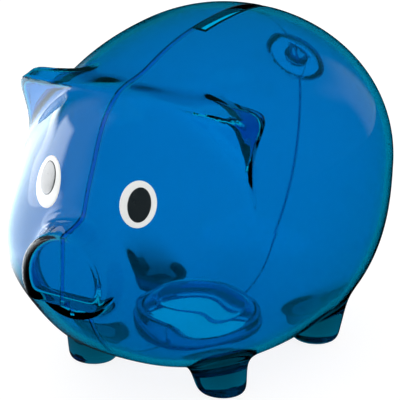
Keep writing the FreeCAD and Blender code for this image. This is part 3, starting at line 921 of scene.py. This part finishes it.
def make_floor():
    turns = [2 * math.pi * step / FLOOR_SEGMENTS for step in range(FLOOR_SEGMENTS)]
    points = [(FLOOR_RADIUS * math.cos(turn), FLOOR_RADIUS * math.sin(turn), 0.0) for turn in turns]
    floor = mesh_object("floor", points, [tuple(range(FLOOR_SEGMENTS))])
    floor.location.z = FLOOR_Z
    made, tree = node_material("pale_floor")
    place = tree.nodes.new("ShaderNodeTexCoord")
    where = place.outputs["Object"]
    surface = add(tree, "ShaderNodeBsdfPrincipled", Roughness=FLOOR_ROUGHNESS)
    surface.inputs["Base Color"].default_value = (*FLOOR_ALBEDO, 1.0)
    surface.inputs["Specular IOR Level"].default_value = 0.0
    surface.inputs["Emission Color"].default_value = (1.0, 1.0, 1.0, 1.0)
    faintest = FLOOR_GLOW * (1.0 - FLOOR_GLOW_SPREAD)
    strongest = FLOOR_GLOW * (1.0 + FLOOR_GLOW_SPREAD)
    glow = noise_between(tree, where, FLOOR_GLOW_SCALE, faintest, strongest)
    tree.links.new(glow, surface.inputs["Emission Strength"])
    # what the glossy skin mirrors: the bright stretch on the pig's right, and dark elsewhere
    split = tree.nodes.new("ShaderNodeSeparateXYZ")
    tree.links.new(where, split.inputs["Vector"])
    patch = tree.nodes.new("ShaderNodeMapRange")
    patch.interpolation_type = "SMOOTHSTEP"
    patch.inputs["From Min"].default_value = PATCH_STARTS_X
    patch.inputs["From Max"].default_value = PATCH_FULL_X
    patch.inputs["To Min"].default_value = PATCH_DIMMEST
    patch.inputs["To Max"].default_value = PATCH_BRIGHTEST
    tree.links.new(split.outputs["X"], patch.inputs["Value"])
    azimuth = azimuth_of(tree, split)
    beside = node_math(tree, "SUBTRACT", azimuth, math.radians(PATCH_AZIMUTH))
    window = soft_window(tree, beside, math.radians(PATCH_HALF_WIDTH), math.radians(PATCH_EDGE))
    mirrored = add(tree, "ShaderNodeEmission")
    mirrored.inputs["Color"].default_value = (*MIRRORED_TINT, 1.0)
    lit = node_math(tree, "MULTIPLY", patch.outputs["Result"], window)
    tree.links.new(lit, mirrored.inputs["Strength"])
    path = tree.nodes.new("ShaderNodeLightPath")
    choose = tree.nodes.new("ShaderNodeMixShader")
    tree.links.new(mirror_share(tree, path), choose.inputs["Fac"])
    tree.links.new(surface.outputs["BSDF"], choose.inputs[1])
    tree.links.new(mirrored.outputs["Emission"], choose.inputs[2])
    out = tree.nodes.new("ShaderNodeOutputMaterial")
    tree.links.new(choose.outputs["Shader"], out.inputs["Surface"])
    floor.data.materials.append(made)


# soft boxes that only the glossy skin mirrors: azimuth, elevation, half sizes and
# soft edges (all in degrees), and brightness
SOFT_BOXES = (
    (-88.0, -10.0, 28.0, 11.0, 16.0, 9.0, 6.2),
    (-66.0, 18.0, 20.0, 22.0, 26.0, 26.0, 0.5),
    (-76.0, 8.0, 8.0, 6.0, 10.0, 7.0, 5.0),
    (161.0, -10.0, 7.0, 26.0, 7.0, 14.0, 0.3),
)
BOX_TINT = (0.96, 0.98, 1.0)
STUDIO_LIGHT = 0.95
DUSK = (0.004, 0.05, 0.07)


def soft_window(tree, angle, half, edge):
    """1 within half of zero, falling softly to 0 over the edge."""
    fade = tree.nodes.new("ShaderNodeMapRange")
    fade.interpolation_type = "SMOOTHSTEP"
    fade.inputs["From Min"].default_value = half + edge
    fade.inputs["From Max"].default_value = half
    tree.links.new(node_math(tree, "ABSOLUTE", angle), fade.inputs["Value"])
    return fade.outputs["Result"]


def make_world():
    """An even studio that lights the scene, and dusk with soft boxes for reflections."""
    world = bpy.data.worlds.new("studio")
    bpy.context.scene.world = world
    world.use_nodes = True
    tree = world.node_tree
    tree.nodes.clear()
    place = tree.nodes.new("ShaderNodeTexCoord")
    split = tree.nodes.new("ShaderNodeSeparateXYZ")
    tree.links.new(place.outputs["Generated"], split.inputs["Vector"])
    azimuth = azimuth_of(tree, split)
    elevation = node_math(tree, "ARCSINE", split.outputs["Z"])
    total = None
    for at_azimuth, at_elevation, half_wide, half_high, edge_wide, edge_high, bright in SOFT_BOXES:
        turned = node_math(tree, "SUBTRACT", azimuth, math.radians(at_azimuth))
        wrapped = node_math(tree, "PINGPONG", turned, math.pi)
        raised = node_math(tree, "SUBTRACT", elevation, math.radians(at_elevation))
        wide = soft_window(tree, wrapped, math.radians(half_wide), math.radians(edge_wide))
        high = soft_window(tree, raised, math.radians(half_high), math.radians(edge_high))
        glow = node_math(tree, "MULTIPLY", node_math(tree, "MULTIPLY", wide, high), bright)
        total = glow if total is None else node_math(tree, "MAXIMUM", total, glow)
    boxes = add(tree, "ShaderNodeBackground")
    boxes.inputs["Color"].default_value = (*BOX_TINT, 1.0)
    tree.links.new(total, boxes.inputs["Strength"])
    dusk = add(tree, "ShaderNodeBackground", Strength=1.0)
    dusk.inputs["Color"].default_value = (*DUSK, 1.0)
    both = tree.nodes.new("ShaderNodeAddShader")
    tree.links.new(boxes.outputs["Background"], both.inputs[0])
    tree.links.new(dusk.outputs["Background"], both.inputs[1])
    even = add(tree, "ShaderNodeBackground", Strength=STUDIO_LIGHT)
    even.inputs["Color"].default_value = (1.0, 1.0, 1.0, 1.0)
    path = tree.nodes.new("ShaderNodeLightPath")
    choose = tree.nodes.new("ShaderNodeMixShader")
    tree.links.new(mirror_share(tree, path), choose.inputs["Fac"])
    tree.links.new(even.outputs["Background"], choose.inputs[1])
    tree.links.new(both.outputs["Shader"], choose.inputs[2])
    out = tree.nodes.new("ShaderNodeOutputWorld")
    tree.links.new(choose.outputs["Shader"], out.inputs["Surface"])


def direction(azimuth, elevation):
    """A unit vector from the pig: azimuth 0 is straight ahead of it, and 90 is its left."""
    return Vector(
        (
            math.sin(azimuth) * math.cos(elevation),
            -math.cos(azimuth) * math.cos(elevation),
            math.sin(elevation),
        )
    )


LAMP_AZIMUTH, LAMP_ELEVATION = math.radians(-40.0), math.radians(65.0)
LAMP_DISTANCE, LAMP_SIZE, LAMP_POWER = 1.2, 0.8, 2.0
PIG_MIDDLE = Vector((0.0, 0.0, 0.04))


def make_lamp():
    """A soft overhead lamp aimed at the pig, which the skin does not mirror."""
    back = direction(LAMP_AZIMUTH, LAMP_ELEVATION)
    light = bpy.data.lights.new("overhead_lamp", "AREA")
    light.size = LAMP_SIZE
    light.energy = LAMP_POWER
    lamp = bpy.data.objects.new("overhead_lamp", light)
    bpy.context.scene.collection.objects.link(lamp)
    lamp.location = PIG_MIDDLE + back * LAMP_DISTANCE
    lamp.rotation_mode = "QUATERNION"
    lamp.rotation_quaternion = (-back).to_track_quat("-Z", "Y")
    lamp.visible_glossy = False


make_floor()
make_world()
make_lamp()

# ------------------------------------------------------------------- camera

AZIMUTH, ELEVATION, ROLL = (math.radians(angle) for angle in (28.39, 21.03, 1.73))
DISTANCE = 0.58242
FOCAL_PIXELS = 2478.43
IMAGE_PIXELS = 400
SENSOR_WIDTH = 36.0
NEAREST, FARTHEST = 0.05, 20.0
camera_target = Vector((0.0, 0.00435, 0.03748))
back = direction(AZIMUTH, ELEVATION)
level_right = Vector((math.cos(AZIMUTH), math.sin(AZIMUTH), 0.0))
level_up = back.cross(level_right)
right = math.cos(ROLL) * level_right + math.sin(ROLL) * level_up
up = math.cos(ROLL) * level_up - math.sin(ROLL) * level_right
camera_data = bpy.data.cameras.new("camera")
camera_data.sensor_width = SENSOR_WIDTH
camera_data.lens = SENSOR_WIDTH * FOCAL_PIXELS / IMAGE_PIXELS
camera_data.clip_start, camera_data.clip_end = NEAREST, FARTHEST
camera = bpy.data.objects.new("camera", camera_data)
bpy.context.scene.collection.objects.link(camera)
facing = Matrix((right, up, back)).transposed().to_4x4()
camera.matrix_world = Matrix.Translation(camera_target + back * DISTANCE) @ facing
bpy.context.scene.camera = camera

# light crosses many skins on its way through two walls, the plug and the legs
THROUGH_BOUNCES, MIRROR_BOUNCES = 32, 8
scene = bpy.context.scene
scene.view_settings.view_transform = "Standard"
scene.cycles.max_bounces = THROUGH_BOUNCES
scene.cycles.transmission_bounces = THROUGH_BOUNCES
scene.cycles.glossy_bounces = MIRROR_BOUNCES
scene.cycles.transparent_max_bounces = THROUGH_BOUNCES
